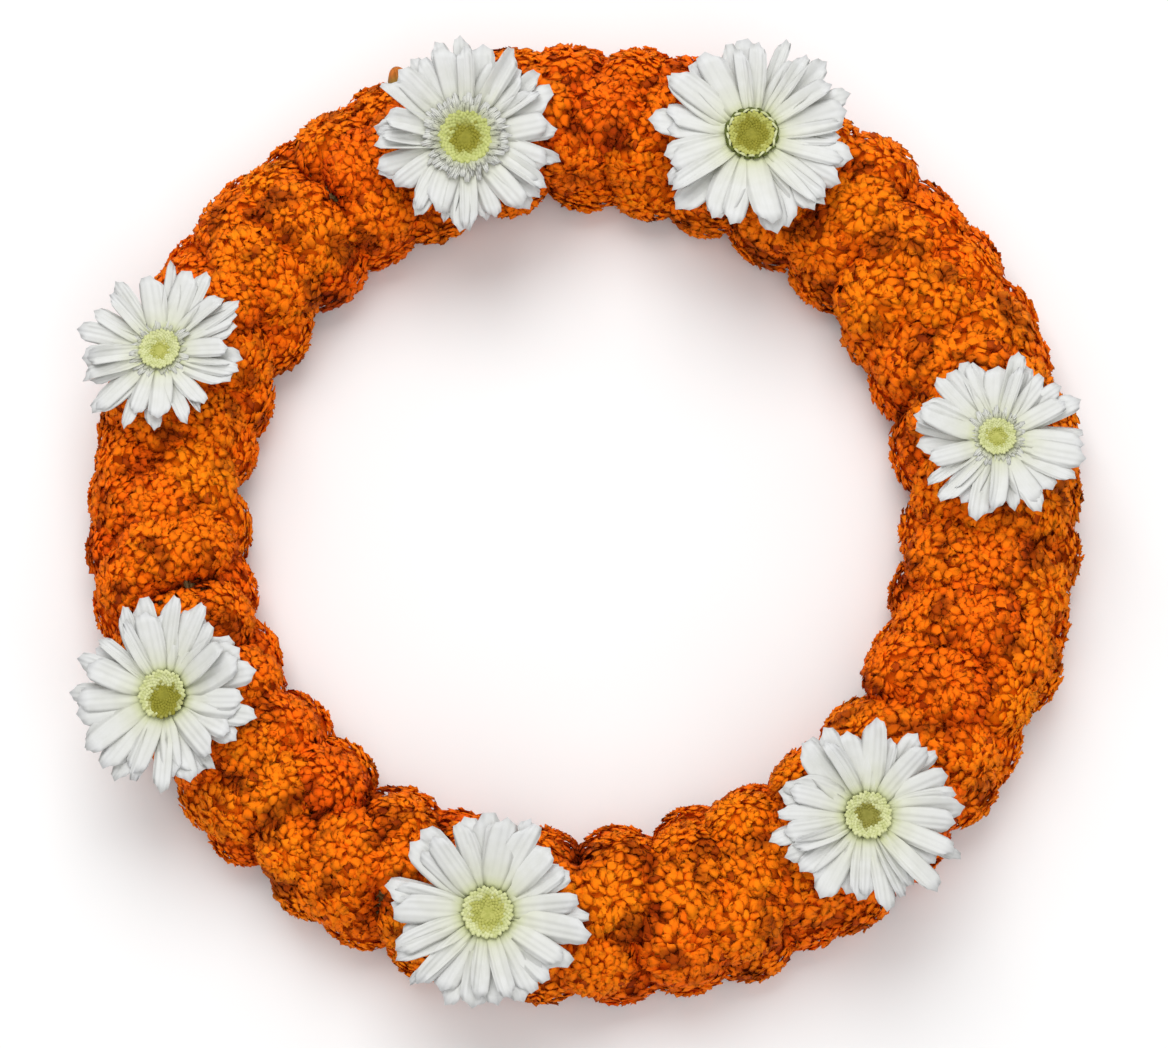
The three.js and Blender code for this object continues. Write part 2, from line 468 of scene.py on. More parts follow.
@dataclass(frozen=True)
class MarigoldFinish(Finish):
    """Orange petals from redder heads to yellower ones, with painted shade that browns the petal roots and
    the heads' lower flanks.
    """

    # The dark low end of both ramps is painted shade for petal roots and lower flanks, and also the colour of
    # browned petals.
    red_stops: tuple[tuple[float, Colour], ...] = (
        (0.0, (0.20, 0.022, 0.001)),
        (0.35, (0.66, 0.070, 0.001)),
        (0.7, (0.92, 0.120, 0.001)),
        (1.0, (1.0, 0.175, 0.003)),
    )
    gold_stops: tuple[tuple[float, Colour], ...] = (
        (0.0, (0.26, 0.035, 0.001)),
        (0.35, (0.74, 0.110, 0.001)),
        (0.7, (0.97, 0.190, 0.001)),
        (1.0, (1.0, 0.270, 0.004)),
    )

    def colour(self, sheet: Sheet, mottle: bpy.types.Node) -> bpy.types.NodeSocket:
        """Returns the petals' colour by the head's own tone and by the tip mark, which holds painted shade on
        the petal roots and the heads' lower flanks, and the browned petals.
        """
        tip = sheet.mark("tip")
        red = sheet.ramp(tip, list(self.red_stops))
        gold = sheet.ramp(tip, list(self.gold_stops))
        petal = sheet.mixed(sheet.mark("tone"), red, gold)
        shade = sheet.ramp(mottle.outputs["Blotch"], [(0.34, (0.42, 0.32, 0.22)), (0.46, (1.0, 1.0, 1.0))])
        return sheet.mixed(1.0, petal, shade, "MULTIPLY")


@dataclass(frozen=True)
class GradedFinish(Finish):
    """A colour that runs along a mark, mottled a little.

    Attributes:
        mark: The mark that the colour follows.
        stops: Places along the mark and their colours.
        dark: The colour that the blotches are multiplied by.
        veins: How many ridges run along the piece; none where it is 0.
    """

    mark: str = "along"
    stops: tuple[tuple[float, Colour], ...] = ((0.0, (0.5, 0.5, 0.5)), (1.0, (0.5, 0.5, 0.5)))
    dark: Colour = (0.85, 0.85, 0.8)
    veins: float = 0.0

    def colour(self, sheet: Sheet, mottle: bpy.types.Node) -> bpy.types.NodeSocket:
        """Returns the colour along the mark, darker in the blotches."""
        graded = sheet.ramp(sheet.mark(self.mark), list(self.stops))
        shade = sheet.ramp(mottle.outputs["Blotch"], [(0.35, self.dark), (0.6, (1.0, 1.0, 1.0))])
        return sheet.mixed(1.0, graded, shade, "MULTIPLY")

    def height(self, sheet: Sheet, mottle: bpy.types.Node) -> bpy.types.NodeSocket:
        """Returns ridges that run along the piece, or the fine relief."""
        if not self.veins:
            return mottle.outputs["Fine"]
        turn = sheet.node("Math", operation="MULTIPLY")
        turn.inputs[1].default_value = self.veins * math.pi
        sheet.join(sheet.mark("across"), turn.inputs[0])
        wave = sheet.node("Math", operation="SINE")
        sheet.join(turn.outputs[0], wave.inputs[0])
        return wave.outputs[0]


MARIGOLD = MarigoldFinish("marigold_petals", "marigold_petal", 0.8, 45.0, 1400.0, 0.0003, 0.08)
GERBERA_WHITE = GradedFinish(
    "gerbera_white",
    "gerbera_petal",
    0.55,
    120.0,
    relief=0.00012,
    stops=(
        (0.0, (0.36, 0.40, 0.10)),
        (0.10, (0.52, 0.55, 0.28)),
        (0.26, (0.62, 0.63, 0.52)),
        (0.5, (0.65, 0.655, 0.62)),
        (1.0, (0.66, 0.665, 0.67)),
    ),
    dark=(0.95, 0.95, 0.93),
    veins=4.0,
)
GREEN = GradedFinish(
    "stem_green",
    "green_stem",
    0.6,
    150.0,
    stops=((0.0, (0.20, 0.31, 0.07)), (1.0, (0.12, 0.22, 0.04))),
    dark=(0.7, 0.75, 0.6),
)
LEAF_GREEN = GradedFinish(
    "leaf_green",
    "leaf",
    0.5,
    200.0,
    stops=((0.0, (0.10, 0.17, 0.03)), (1.0, (0.045, 0.10, 0.014))),
    dark=(0.7, 0.75, 0.6),
    veins=8.0,
)
BUD_GREEN = GradedFinish(
    "bud_green_and_orange",
    "bud",
    0.65,
    200.0,
    stops=((0.0, (0.13, 0.20, 0.04)), (0.6, (0.24, 0.22, 0.04)), (0.85, (0.60, 0.16, 0.01))),
    dark=(0.7, 0.75, 0.6),
    veins=9.0,
)
STRAW = GradedFinish(
    "dry_straw",
    "straw",
    0.75,
    300.0,
    stops=((0.0, (0.24, 0.13, 0.04)), (0.5, (0.46, 0.30, 0.11)), (1.0, (0.60, 0.44, 0.20))),
    dark=(0.7, 0.65, 0.55),
    mark="tone",
)
JUTE = GradedFinish(
    "jute_fibre",
    "jute_twine",
    0.9,
    500.0,
    2500.0,
    0.0003,
    stops=((0.0, (0.22, 0.13, 0.05)), (1.0, (0.42, 0.28, 0.12))),
    dark=(0.6, 0.55, 0.5),
    mark="tone",
)


# ------------------------------------------------------------------ the ring


@dataclass
class StrawRing:
    """The flat-backed ring of bound straw.

    Attributes:
        section: Radius of the straw's round section.
        stalk: Radius of a stalk.
        inset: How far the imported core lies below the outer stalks.
        seed: Start of the random draws.
    """

    section: float = 25 * MM
    stalk: float = 1.25 * MM
    inset: float = 1.4 * MM
    seed: int = 11

    def __post_init__(self) -> None:
        """Reads the ring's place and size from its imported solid."""
        low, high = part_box("straw_ring")
        self.centre = np.array((low + high) / 2)
        self.centre[2] = 0.0
        self.radius = (high.x - low.x) / 2 - self.section
        self.height = high.z - self.section

    def on_section(self, angle: Array, lean: Array, reach: Array) -> Array:
        """Gives places round the straw's section.

        Args:
            angle: Angle round the wreath from +X, in radians.
            lean: Angle round the section from straight up, outwards, in radians.
            reach: Distance from the section's centre.

        Returns:
            The places, one row each.
        """
        radius = self.radius + reach * np.sin(lean)
        height = self.height + reach * np.cos(lean)
        return np.stack([radius * np.cos(angle), radius * np.sin(angle), height], -1) + self.centre

    def core(self) -> Shape:
        """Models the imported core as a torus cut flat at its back."""
        Bench.clear()
        bpy.ops.mesh.primitive_torus_add(
            major_segments=96,
            minor_segments=20,
            major_radius=self.radius,
            minor_radius=self.section - self.inset,
            location=(*self.centre[:2], self.height),
        )
        core = bpy.context.object
        bpy.ops.object.transform_apply(location=True, rotation=True, scale=True)
        bpy.ops.object.mode_set(mode="EDIT")
        bpy.ops.mesh.select_all(action="SELECT")
        bpy.ops.mesh.bisect(
            plane_co=(0.0, 0.0, self.inset),
            plane_no=(0.0, 0.0, 1.0),
            use_fill=True,
            clear_inner=True,
        )
        bpy.ops.object.mode_set(mode="OBJECT")
        shape = Shape.taken_from(core)
        shape.marks = {"tone": np.full(len(shape.points), 0.15)}
        return shape

    def stalks(self) -> Shape:
        """Lays stalks along the ring all round its section.

        Returns:
            The stalks as one shape.
        """
        rng = np.random.default_rng(self.seed)
        steps = 7
        Bench.clear()
        bpy.ops.mesh.primitive_cylinder_add(vertices=5, radius=1.0, depth=1.0, end_fill_type="TRIFAN")
        tube = bpy.context.object
        bpy.ops.object.mode_set(mode="EDIT")
        bpy.ops.mesh.select_all(action="SELECT")
        for step in range(1, steps):
            bpy.ops.mesh.select_all(action="SELECT")
            bpy.ops.mesh.bisect(plane_co=(0.0, 0.0, step / steps - 0.5), plane_no=(0.0, 0.0, 1.0))
        bpy.ops.object.mode_set(mode="OBJECT")
        stalk = Shape.taken_from(tube)
        around, along = 66, 11
        lean, start = np.meshgrid(np.arange(around), np.arange(along), indexing="ij")
        count = around * along
        lean = (lean.ravel() + rng.uniform(-0.3, 0.3, count)) * 2 * math.pi / around
        start = (start.ravel() + rng.uniform(-0.4, 0.4, count)) * 2 * math.pi / along
        span = rng.uniform(0.11, 0.17, count) / self.radius
        drift = rng.uniform(-0.12, 0.12, count)
        run = stalk.points[:, 2][None, :]
        angle = start[:, None] + run * span[:, None]
        lean_here = lean[:, None] + run * drift[:, None]
        girth = self.stalk * rng.uniform(0.8, 1.15, count)[:, None]
        back = (self.height - self.stalk) / np.maximum(-np.cos(lean_here), 1e-3)
        reach = np.minimum(self.section - self.stalk, np.where(np.cos(lean_here) < 0, back, 1.0))
        side = lean_here + stalk.points[:, 0][None, :] * girth / self.section
        out = reach + stalk.points[:, 1][None, :] * girth
        places = self.on_section(angle, side, out)
        places[..., 2] = np.maximum(places[..., 2], 0.0)
        return stalk.copies(places, {"tone": rng.uniform(0.1, 1.0, count)})

    def build(self) -> None:
        """Makes the ring and dresses it."""
        piece = Shape.joined([self.core(), self.stalks()]).to_piece("bound_straw")
        finished(piece, STRAW.material(), STRAW.slot, "straw_ring")


@dataclass
class BindingTwine:
    """The two-ply jute twine wound round the straw.

    Attributes:
        ring: The straw ring that it binds.
        wraps: How many times it goes round the straw.
        reach: Distance of its middle from the section's centre.
        strand: Radius of one ply.
        pitch: Length of one turn of the plies.
    """

    ring: StrawRing
    wraps: int = 16
    reach: float = 26.6 * MM
    strand: float = 0.75 * MM
    pitch: float = 7 * MM

    def path(self, share: Array) -> Array:
        """Gives the line that the twine follows, and its way across the flat back."""
        around = 2 * math.pi * share
        wrap = around * self.wraps
        below = np.maximum(-np.cos(wrap), 1e-3)
        to_back = (self.ring.height - 2 * self.strand) / below
        return self.ring.on_section(around, wrap, np.minimum(self.reach, to_back))

    def build(self) -> None:
        """Makes the twine and dresses it."""
        sides = 5
        fine = np.linspace(0.0, 1.0, 8001)
        line = self.path(fine)
        run = np.concatenate([[0.0], np.cumsum(np.linalg.norm(np.diff(line, axis=0), axis=1))])
        turns = round(run[-1] / self.pitch)
        steps = turns * 5
        share = np.interp(np.arange(steps) / steps * run[-1], run, fine)
        middle = self.path(share)
        ahead = unit(np.roll(middle, -1, axis=0) - np.roll(middle, 1, axis=0))
        around = 2 * math.pi * share
        spine = np.stack([np.cos(around), np.sin(around), np.zeros(steps)], -1) * self.ring.radius
        spine += self.ring.centre + np.array([0.0, 0.0, self.ring.height])
        out = unit(middle - spine)
        out = unit(out - ahead * (out * ahead).sum(-1, keepdims=True))
        side = np.cross(ahead, out)
        plies = []
        for ply in range(2):
            twist = 2 * math.pi * turns * np.arange(steps) / steps + math.pi * ply
            axis = middle + self.strand * (np.cos(twist)[:, None] * out + np.sin(twist)[:, None] * side)
            ring_angle = 2 * math.pi * np.arange(sides) / sides
            points = axis[:, None] + self.strand * (
                np.cos(ring_angle)[None, :, None] * out[:, None]
                + np.sin(ring_angle)[None, :, None] * side[:, None]
            )
            here = np.arange(steps)[:, None] * sides + np.arange(sides)[None, :]
            onward = np.roll(here, -1, axis=0)
            faces = np.stack([here, onward, np.roll(onward, -1, axis=1), np.roll(here, -1, axis=1)], -1)
            tone = np.repeat(0.5 + 0.5 * np.sin(np.arange(steps) * 0.7 + ply), sides)
            plies.append(
                Shape(points.reshape(-1, 3), faces.ravel(), np.full(steps * sides, 4), {"tone": tone})
            )
        piece = Shape.joined(plies).to_piece("jute_winding")
        finished(piece, JUTE.material(), JUTE.slot, "binding_twine")


# ------------------------------------------------------------------ marigolds


@dataclass
class MarigoldHead:
    """One double marigold head, standing on the origin's plane with its face up.

    Attributes:
        radius: Half the head's width.
        flatness: Its height over the centre, as a share of the radius.
        petals: How many petals it shows.
        spread: How far down from the top its petals reach, in radians.
        lean: Angle between the top petals and the upright, in radians.
        heart_share: Radius of the closed middle, as a share of the head's.
        petal_width: Half the width of a petal, as a share of the radius.
        petal_length: Length of a petal, as a share of the radius.
        fleck_share: Share of the petals that have browned.
        seed: Start of the random draws.
    """

    radius: float = 23.5 * MM
    flatness: float = 0.86
    petals: int = 225
    spread: float = math.radians(106)
    lean: float = 0.9
    heart_share: float = 0.84
    petal_width: float = 0.122
    petal_length: float = 0.31
    fleck_share: float = 0.035
    seed: int = 1

    @staticmethod
    def petal() -> Shape:
        """Models one ruffled petal: a pointed foot, a round wavy edge and a closed back.

        Returns:
            The petal, from -1 to 1 across and from 0 to 1 along.
        """
        sheet = Bench.grid(3, 2)
        Bench.shape(sheet, lambda p: np.abs(p[:, 1]) < 0.01, "resize", (0.0, 1.0, 1.0))
        Bench.shape(sheet, lambda p: np.abs(p[:, 1] - 0.5) < 0.01, "resize", (0.9, 1.0, 1.0))
        Bench.shape(sheet, lambda p: np.abs(p[:, 1] - 0.5) < 0.01, "translate", (0.0, 0.08, 0.16))
        crest = lambda p: (p[:, 1] > 0.9) & (np.abs(p[:, 0] - 0.33) < 0.1)
        Bench.shape(sheet, crest, "translate", (0.0, 0.04, 0.2))
        edge = lambda p: (p[:, 1] > 0.9) & (np.abs(p[:, 0]) > 0.9)
        Bench.shape(sheet, edge, "resize", (0.8, 1.0, 1.0))
        Bench.shape(sheet, edge, "translate", (0.0, -0.14, 0.0))
        bpy.context.view_layer.objects.active = sheet
        bpy.ops.object.mode_set(mode="EDIT")
        bpy.ops.mesh.select_all(action="SELECT")
        bpy.ops.mesh.remove_doubles(threshold=0.001)
        bpy.ops.mesh.select_all(action="SELECT")
        bpy.ops.mesh.region_to_loop()
        bpy.ops.mesh.extrude_edges_move(TRANSFORM_OT_translate={"value": (0.0, 0.0, -0.3)})
        bpy.ops.mesh.merge(type="CENTER")
        bpy.ops.mesh.select_all(action="SELECT")
        bpy.ops.mesh.normals_make_consistent(inside=False)
        bpy.ops.object.mode_set(mode="OBJECT")
        return Shape.taken_from(sheet)

    def heart(self) -> Shape:
        """Models the head's closed middle and the green cup under it."""
        Bench.clear()
        bpy.ops.mesh.primitive_uv_sphere_add(segments=12, ring_count=6, radius=self.radius * self.heart_share)
        ball = bpy.context.object
        cup = lambda p: p[:, 2] < -0.35 * self.radius
        Bench.shape(ball, cup, "resize", (0.8, 0.8, 1.0))
        shape = Shape.taken_from(ball)
        shape.points[:, 2] *= self.flatness
        shape.marks = {
            "tip": np.full(len(shape.points), 0.7),
            "tone": np.full(len(shape.points), 0.5),
        }
        return shape

    def build(self, petal: Shape) -> Shape:
        """Sets the petals round the head on a spiral.

        Args:
            petal: The petal that is copied.

        Returns:
            The head, marked with painted shade, darker towards the petal roots and on its lower flanks, and
            with browned petals and the petals' tone.
        """
        rng = np.random.default_rng(self.seed)
        count = self.petals
        n = np.arange(count)
        share = (n + 0.5) / count
        tilt = np.arccos(1.0 - share * (1.0 - math.cos(self.spread)))
        turn = n * GOLDEN_ANGLE + rng.uniform(-0.3, 0.3, count)
        tilt = tilt + rng.uniform(-0.07, 0.07, count)
        out = np.stack([np.sin(tilt) * np.cos(turn), np.sin(tilt) * np.sin(turn), np.cos(tilt)], -1)
        down = np.stack([np.cos(tilt) * np.cos(turn), np.cos(tilt) * np.sin(turn), -np.sin(tilt)], -1)
        side = np.cross(down, out)
        swing = rng.normal(0.0, 1.0, count) * (0.35 + 1.2 * np.exp(-tilt / 0.35))
        down, side = (
            np.cos(swing)[:, None] * down + np.sin(swing)[:, None] * side,
            np.cos(swing)[:, None] * side - np.sin(swing)[:, None] * down,
        )
        lean = (self.lean + 0.25 * np.minimum(1.0, tilt / 0.9) + rng.normal(0.0, 0.14, count))[:, None]
        reach = np.cos(lean) * out + np.sin(lean) * down
        face = np.sin(lean) * out - np.cos(lean) * down
        width = self.radius * self.petal_width * rng.uniform(0.7, 1.3, count)
        length = self.radius * self.petal_length * rng.uniform(0.85, 1.15, count)
        shape = petal.points[None] + rng.normal(0.0, 1.0, (count, len(petal.points), 3)) * (
            np.array([0.14, 0.09, 0.18]) * petal.points[None, :, 1:2]
        )
        across, along, cup = shape[..., 0], shape[..., 1], shape[..., 2]
        tops = self.radius * rng.uniform(0.96, 1.02, count)
        places = (
            out[:, None] * tops[:, None, None]
            + side[:, None] * (across * width[:, None])[..., None]
            + reach[:, None] * ((along - 1.0) * length[:, None])[..., None]
            + face[:, None] * (cup * width[:, None])[..., None]
        )
        places[..., 2] *= self.flatness
        # Painted shade: petals low on the head's flanks, between and under the heads, are coloured darker.
        underside_shade = 1.0 - 0.6 * np.clip((tilt - 0.85) / 0.7, 0.0, 1.0)
        fleck = np.where(rng.random(count) < self.fleck_share, 0.2, 1.0)
        shade_and_browning = (underside_shade * fleck * rng.uniform(0.84, 1.0, count))[:, None]
        # The tip mark is painted shade that darkens each petal towards its root, times the flank shade, the
        # browning and a random tone.
        marks = {
            "tip": shade_and_browning * (0.8 + 0.2 * petal.points[None, :, 1]),
            "tone": rng.uniform(0.35, 0.65, count),
        }
        return Shape.joined([petal.copies(places, marks), self.heart()])


class Row(Enum):
    """The five rows of marigold heads, by their place from the innermost to the outermost."""

    INNER_SIDE = -2
    INNER_SHOULDER = -1
    CROWN = 0
    OUTER_SHOULDER = 1
    OUTER_SIDE = 2


@dataclass
class MarigoldStrings:
    """All the strings of marigold heads.

    Attributes:
        ring: The straw ring that they cover.
        top: From the section's centre to the top of a head.
        foot: From the section's centre to the underside of a head.
        pitch: From one head to the next along a row.
        row_step: Angle round the section from one row to the next, in radians.
        strings: How many strings make a row.
        fullness: How much larger the heads are on the fullest side.
        fullest: Angle round the wreath of its fullest side, in radians.
        kinds: How many different heads are copied.
        floor_room: Height under which the lowest petals are pressed flat.
        seed: Start of the random draws.
    """

    ring: StrawRing
    top: float = 50 * MM
    foot: float = 32 * MM
    pitch: float = 37 * MM
    row_step: float = math.radians(47)
    strings: int = 6
    fullness: float = 0.06
    fullest: float = math.radians(15)
    kinds: int = 7
    floor_room: float = 5 * MM
    seed: int = 5

    def heads(self) -> list[Shape]:
        """Returns the different heads that are copied along the rows."""
        petal = MarigoldHead.petal()
        return [
            MarigoldHead(flatness=0.80 + 0.02 * kind, petals=213 + 4 * kind, seed=20 + kind).build(petal)
            for kind in range(self.kinds)
        ]

    def placed(self, head: Shape, row: Row, angle: float, rng: np.random.Generator) -> Shape:
        """Places one head in a row.

        Args:
            head: The head that is copied.
            row: Its row.
            angle: Its angle round the wreath, in radians.
            rng: The random draws.

        Returns:
            The head in its place.
        """
        full = 1 + self.fullness * math.cos(angle - self.fullest) * (1 + row.value / 2)
        size = full * rng.uniform(0.96, 1.13)
        lean = row.value * self.row_step + rng.uniform(-0.15, 0.15)
        angle = angle + rng.uniform(-0.20, 0.20) * self.pitch / self.ring.radius
        tilt = lean + rng.uniform(-0.2, 0.2)
        top = self.top * full * rng.uniform(0.95, 1.03)
        height = head.points[:, 2].max() * size
        centre = self.ring.on_section(np.array(angle), np.array(lean), np.array(top - height))
        axis = np.array([math.sin(tilt) * math.cos(angle), math.sin(tilt) * math.sin(angle), math.cos(tilt)])
        turn = upright(axis) @ spun(rng.uniform(0, 2 * math.pi)) * size
        made = head.moved(turn, centre)
        tone = 0.5 + 0.5 * math.sin(3 * angle + row.value) * 0.35 + rng.normal(0.0, 0.22)
        made.marks = {
            "tip": head.marks["tip"],
            "tone": np.clip(head.marks["tone"] - 0.5 + tone, 0.0, 1.0),
        }
        return made

    def pressed(self, shape: Shape) -> Shape:
        """Presses the lowest petals against the surface that the wreath lies on."""
        height = shape.points[:, 2]
        low = height < self.floor_room
        shape.points[low, 2] = self.floor_room * np.exp(height[low] / self.floor_room - 1.0)
        return shape

    def build(self) -> None:
        """Makes every string and dresses it."""
        rng = np.random.default_rng(self.seed)
        heads = self.heads()
        for row in Row:
            middle = (self.foot + self.top) / 2
            radius = self.ring.radius + middle * math.sin(row.value * self.row_step)
            count = round(2 * math.pi * radius / self.pitch)
            for index in range(self.strings):
                first = round(count * index / self.strings) + row.value
                last = round(count * (index + 1) / self.strings) + row.value
                made = []
                for neck in range(first, last):
                    angle = 2 * math.pi * (neck + 0.5) / count - math.pi / 2
                    made.append(self.placed(heads[rng.integers(self.kinds)], row, angle, rng))
                name = f"{row.name.lower()}_{index + 1}"
                piece = self.pressed(Shape.joined(made)).to_piece(f"marigold_heads_{name}")
                finished(piece, MARIGOLD.material(), MARIGOLD.slot, f"marigolds_{name}")


# ------------------------------------------------------------------ gerberas


class Eye(Enum):
    """How a gerbera's middle looks."""

    PALE = "pale"
    RAGGED = "ragged"
    FRINGED = "fringed"
    SOFT = "soft"
    HEART = "heart"
    ROUND = "round"
    DARK = "dark"


@dataclass(frozen=True)
class EyeLook:
    """The sizes and colours of a gerbera's middle.

    Attributes:
        radius: Radius of the disc of florets.
        centre: Colour of the youngest florets.
        rim: Colour of the outer florets.
        fringe: How many short inner florets stand round the disc.
        reach: How long those are.
        aside: How far the youngest florets lie to one side, as a share of the radius.
        curl: Angle at which the short inner florets rise, in radians.
        core: Share of the radius that the youngest florets fill.
        strips: How many pale bent strips lie round the disc's edge, each with a dark strip that is a painted
            shadow.
    """

    radius: float
    centre: Colour
    rim: Colour
    fringe: int = 0
    reach: float = 0.0
    aside: float = 0.0
    curl: float = 0.22
    core: float = 0.7
    strips: int = 0


OLIVE: Colour = (0.27, 0.25, 0.022)
DEEP_OLIVE: Colour = (0.26, 0.24, 0.04)
MOSS: Colour = (0.46, 0.46, 0.12)
LIME: Colour = (0.52, 0.55, 0.20)
CREAM: Colour = (0.62, 0.64, 0.34)
STRIP_CREAM: Colour = (0.60, 0.62, 0.36)
# Painted shadow: the colour of the dark strips under the pale ones round a disc.
STRIP_SHADOW: Colour = (0.10, 0.12, 0.02)

EYES: dict[Eye, EyeLook] = {
    Eye.PALE: EyeLook(9.5 * MM, MOSS, CREAM, 34, 9 * MM, core=0.55),
    Eye.RAGGED: EyeLook(12.0 * MM, OLIVE, MOSS, core=0.8, strips=17),
    Eye.FRINGED: EyeLook(14.0 * MM, OLIVE, LIME, 56, 13 * MM, curl=0.5, core=0.62),
    Eye.SOFT: EyeLook(10.5 * MM, MOSS, CREAM, 36, 9 * MM, core=0.5),
    Eye.HEART: EyeLook(12.0 * MM, OLIVE, CREAM, aside=0.25, core=0.72),
    Eye.ROUND: EyeLook(12.5 * MM, MOSS, CREAM, core=0.72),
    Eye.DARK: EyeLook(11.5 * MM, DEEP_OLIVE, CREAM, core=0.55),
}


@dataclass(frozen=True)
class Whorl:
    """One ring of ray petals.

    Attributes:
        rays: How many there are.
        length: Their reach, as a share of the flower's.
        width: Half the width of one, as a share of the flower's reach.
        rise: Angle at which they leave the middle, in radians.
        droop: How far their tips bend down again, as a share of their length.
        lift: Height of their roots.
    """

    rays: int
    length: float
    width: float
    rise: float
    droop: float
    lift: float


@dataclass
class Gerbera:
    """One white gerbera.

    Attributes:
        number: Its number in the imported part.
        eye: How its middle looks.
        rays: How many rays its outer whorl has.
        florets: How many florets its disc has.
        stem: Length of its cut stem.
    """

    number: int
    eye: Eye
    rays: int
    florets: int = 210
    stem: float = 44 * MM

    def __post_init__(self) -> None:
        """Reads the flower's seat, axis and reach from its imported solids."""
        dish = self.points_of("petals")
        middle = dish.mean(0)
        axis = np.linalg.svd(dish - middle, full_matrices=False)[2][2]
        axis = axis * math.copysign(1.0, axis[2])
        disc = self.points_of("disc")
        centre = disc.mean(0)
        self.axis = axis
        self.seat = centre + axis * ((disc - centre) @ axis).min()
        arm = (dish - self.seat) - ((dish - self.seat) @ axis)[:, None] * axis
        self.reach = float(np.linalg.norm(arm, axis=1).max())
        self.turn = upright(axis)

    def points_of(self, part: str) -> Array:
        """Returns the points of one of the flower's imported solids."""
        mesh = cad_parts[f"gerbera_{self.number}_{part}"].data
        places = np.zeros(len(mesh.vertices) * 3)
        mesh.vertices.foreach_get("co", places)
        return places.reshape(-1, 3)

    @staticmethod
    def floret_blade() -> Shape:
        """Models one short inner floret: a narrow blade with a blunt tip.

        Returns:
            The blade, from -1 to 1 across and from 0 to 1 along, with its thickness.
        """
        sheet = Bench.grid(2, 3)
        for step, width in enumerate((0.55, 0.9, 1.0, 0.5)):
            row = lambda p, y=step / 3: np.abs(p[:, 1] - y) < 0.01
            Bench.shape(sheet, row, "resize", (width, 1.0, 1.0))
        Bench.thickened(sheet, 0.12)
        return Shape.taken_from(sheet)

    @staticmethod
    def ray() -> Shape:
        """Models one ray petal: narrow at its root, blunt and toothed at its tip.

        Returns:
            The ray, from -1 to 1 across and from 0 to 1 along, with its thickness.
        """
        sheet = Bench.grid(4, 6)
        widths = (0.44, 0.70, 0.88, 0.97, 1.0, 0.96, 0.74)
        for step, width in enumerate(widths):
            row = lambda p, y=step / 6: np.abs(p[:, 1] - y) < 0.01
            Bench.shape(sheet, row, "resize", (width, 1.0, 1.0))
        ridge = lambda p: (np.abs(p[:, 0]) > 0.1) & (np.abs(p[:, 0]) < 0.56)
        Bench.shape(sheet, ridge, "translate", (0.0, 0.0, 0.055))
        teeth = lambda p: (p[:, 1] > 0.95) & (np.abs(p[:, 0]) > 0.2) & (np.abs(p[:, 0]) < 0.4)
        Bench.shape(sheet, teeth, "translate", (0.0, -0.055, 0.0))
        corner = lambda p: (p[:, 1] > 0.95) & (np.abs(p[:, 0]) > 0.5)
        Bench.shape(sheet, corner, "translate", (0.0, -0.085, 0.0))
        Bench.thickened(sheet, 0.05)
        return Shape.taken_from(sheet)

    def whorl(self, ray: Shape, whorl: Whorl, start: float, rng: np.random.Generator) -> Shape:
        """Sets one whorl of rays round the middle.

        Args:
            ray: The ray that is copied.
            whorl: The whorl.
            start: Angle of its first ray, in radians.
            rng: The random draws.

        Returns:
            The whorl, marked along and across each ray.
        """
        count = whorl.rays
        root = EYES[self.eye].radius * 0.72
        angle = start + 2 * math.pi * (np.arange(count) + rng.uniform(-0.36, 0.36, count)) / count
        length = (self.reach * whorl.length - root) * rng.uniform(0.82, 1.04, count)
        width = self.reach * whorl.width * rng.uniform(0.76, 1.22, count)
        rise = whorl.rise + rng.normal(0.0, 0.05, count)
        droop = whorl.droop * rng.uniform(0.3, 1.7, count)
        twist = rng.normal(0.0, 0.26, count)
        cup = rng.uniform(-0.12, 0.26, count)
        bend = rng.normal(0.0, 0.08, count)
        skew = rng.normal(0.0, 0.10, count)
        folded = rng.random(count) < 0.16
        cup = np.where(folded, 1.1, cup)
        width = np.where(folded, width * 0.72, width)
        across, along, high = (ray.points[None, :, k] for k in range(3))
        x = across * width[:, None]
        z = high * width[:, None] + cup[:, None] * across**2 * width[:, None] * (0.3 + 0.7 * along)
        roll = twist[:, None] * along
        x, z = x * np.cos(roll) - z * np.sin(roll), x * np.sin(roll) + z * np.cos(roll)
        x = x + bend[:, None] * along**2 * length[:, None]
        y = (along + skew[:, None] * across * along**6) * length[:, None]
        radial = root + y * np.cos(rise)[:, None]
        up = whorl.lift + y * np.sin(rise)[:, None] - droop[:, None] * along**2.5 * length[:, None] + z
        places = np.stack(
            [
                radial * np.cos(angle)[:, None] - x * np.sin(angle)[:, None],
                radial * np.sin(angle)[:, None] + x * np.cos(angle)[:, None],
                up,
            ],
            -1,
        )
        shape = (count, len(ray.points))
        marks = {"along": np.broadcast_to(along, shape), "across": np.broadcast_to(across, shape)}
        return ray.copies(places, marks)

    def fringe(self, blade: Shape, rng: np.random.Generator) -> Shape:
        """Sets the short, curled inner florets round the disc."""
        look = EYES[self.eye]
        share = look.reach / self.reach
        start = look.radius * 0.9 / self.reach
        inner = Whorl(look.fringe, start + share * 0.62, 0.030, look.curl, 0.12, 1.9 * MM)
        outer = Whorl(look.fringe, start + share, 0.040, look.curl * 0.7, 0.08, 1.6 * MM)
        made = [self.whorl(blade, inner, 0.3, rng), self.whorl(blade, outer, 0.1, rng)]
        for shape, far in zip(made, (0.22, 0.5)):
            shape.marks["along"] = shape.marks["along"] * far + 0.06
        return Shape.joined(made)

